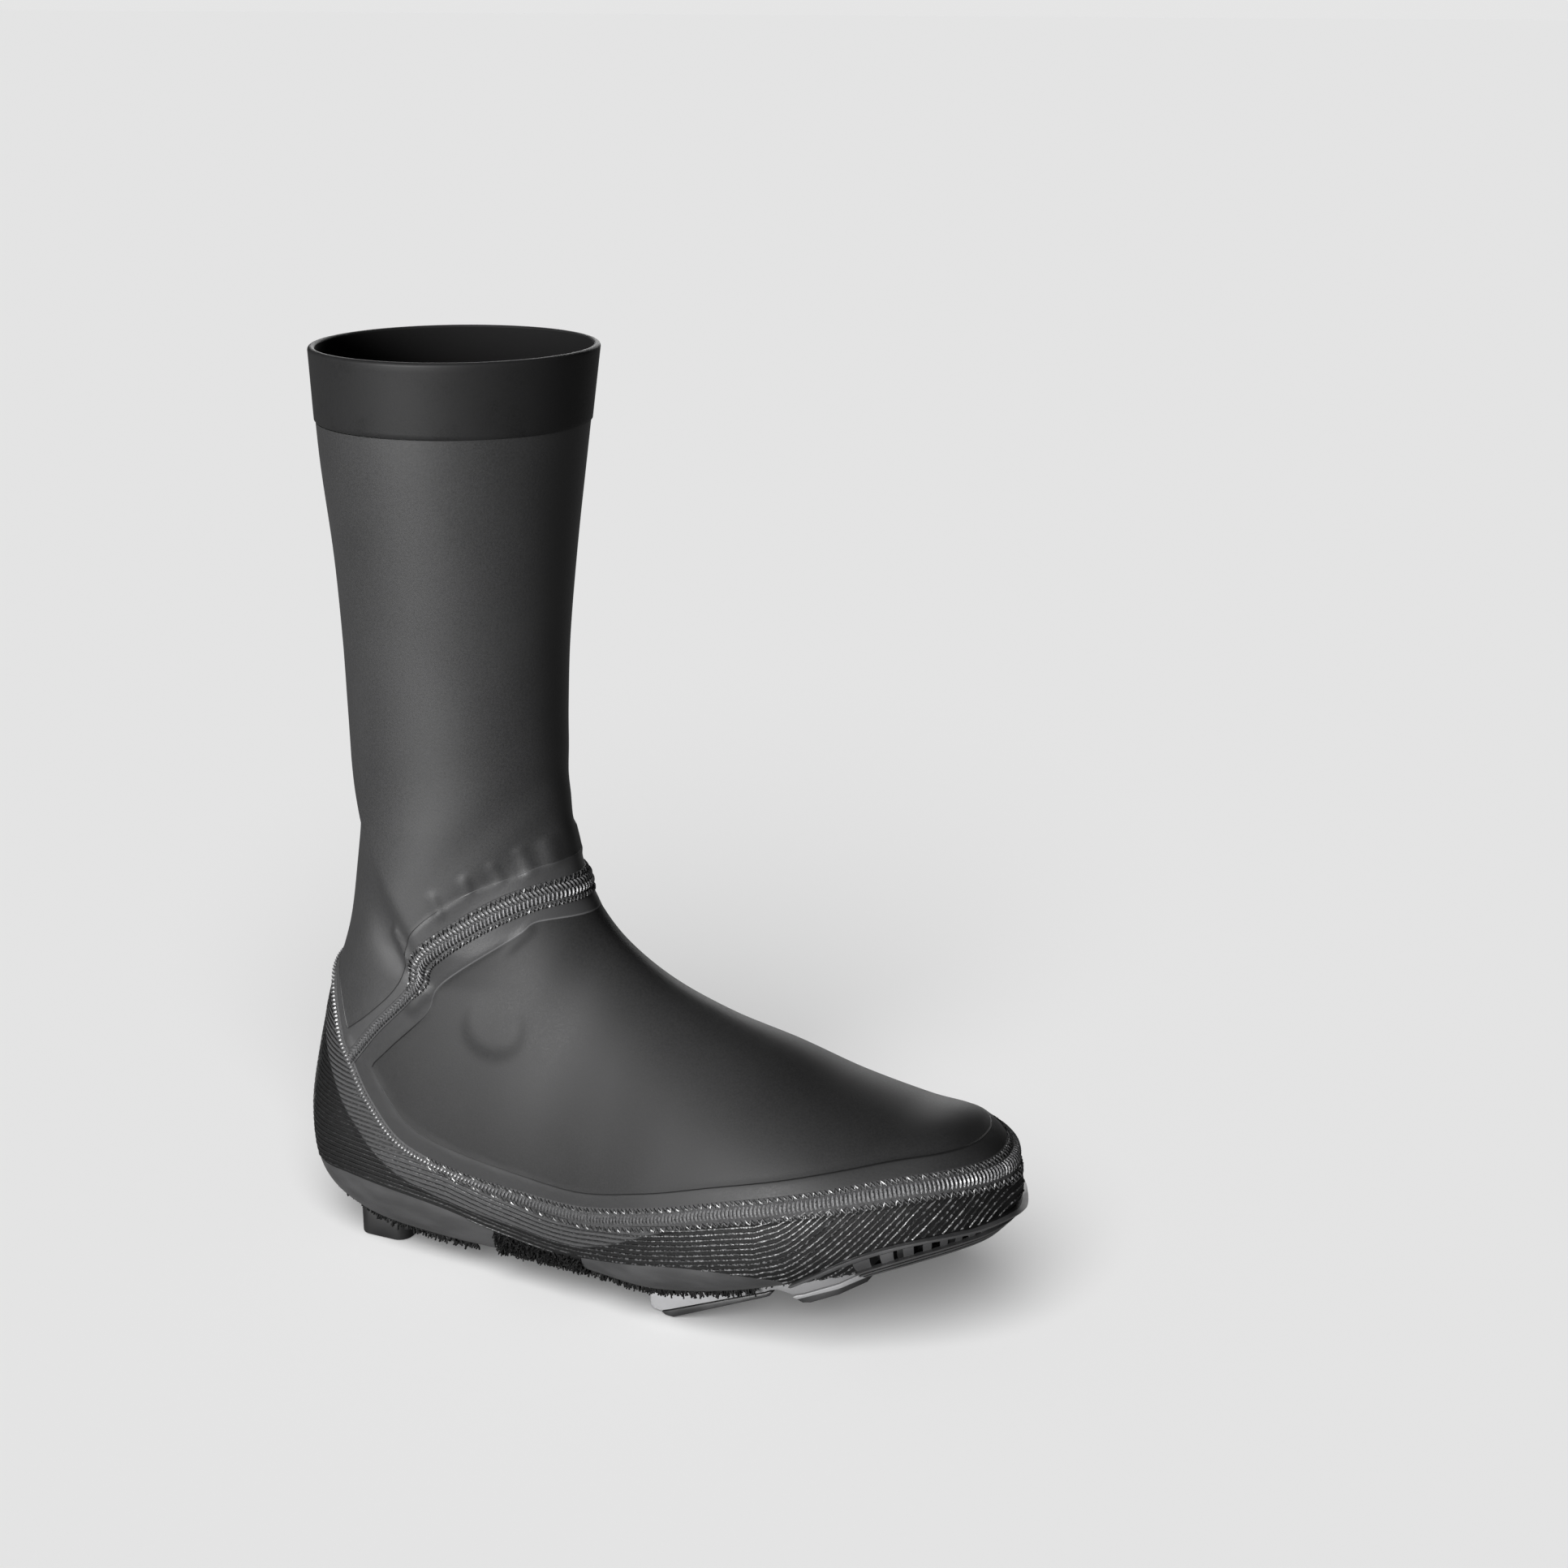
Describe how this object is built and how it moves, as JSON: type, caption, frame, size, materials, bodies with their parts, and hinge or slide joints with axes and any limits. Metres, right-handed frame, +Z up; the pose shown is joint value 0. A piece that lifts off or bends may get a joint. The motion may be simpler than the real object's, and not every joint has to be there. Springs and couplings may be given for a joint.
{
  "type": "cycling overshoe on a cleated shoe sole",
  "caption": "Tall stretch overshoe with a ribbed lower rand, drawn over a road shoe sole with heel pad, cleat and toe tread.",
  "frame": {"origin": "bottom centre of the bounding box, on the ground that the heel pad and the rear of the cleat stand on", "axes": "+X towards the toe, +Y towards the inner side of the foot, +Z up along the leg"},
  "size_m": [0.2822, 0.099, 0.338],
  "materials": {
    "leg_cloth": "matte laminated stretch cloth with a fine grain",
    "ribbed_cloth": "black cloth with fine raised ribs",
    "smooth_band": "smooth satin grey edging",
    "arch_fleece": "fuzzy black loop cloth",
    "seam_thread": "grey-black cover stitching",
    "shoe_rubber": "matte black moulded rubber",
    "sole_shell": "stiff black moulded sole",
    "cleat_plastic": "satin light grey plastic",
    "cleat_rubber": "dark grip rubber",
    "bolt_steel": "bright steel"
  },
  "bodies": {
    "root": {"cuff_band": "leg_cloth", "leg_tube": "leg_cloth", "foot_upper": "leg_cloth", "ribbed_rand": "ribbed_cloth", "heel_band": "smooth_band", "arch_patch": "arch_fleece", "forefoot_band": "smooth_band", "ankle_seam": "seam_thread", "side_seam": "seam_thread", "toe_rim": "shoe_rubber", "toe_tread": "shoe_rubber", "sole_plate": "sole_shell", "heel_pad": "shoe_rubber", "cleat_body": "cleat_plastic", "cleat_rear_pad_outer": "cleat_rubber", "cleat_rear_pad_inner": "cleat_rubber", "cleat_front_pad": "cleat_rubber", "cleat_bolt_1": "bolt_steel", "cleat_bolt_2": "bolt_steel", "cleat_bolt_3": "bolt_steel"}
  },
  "joints": []
}
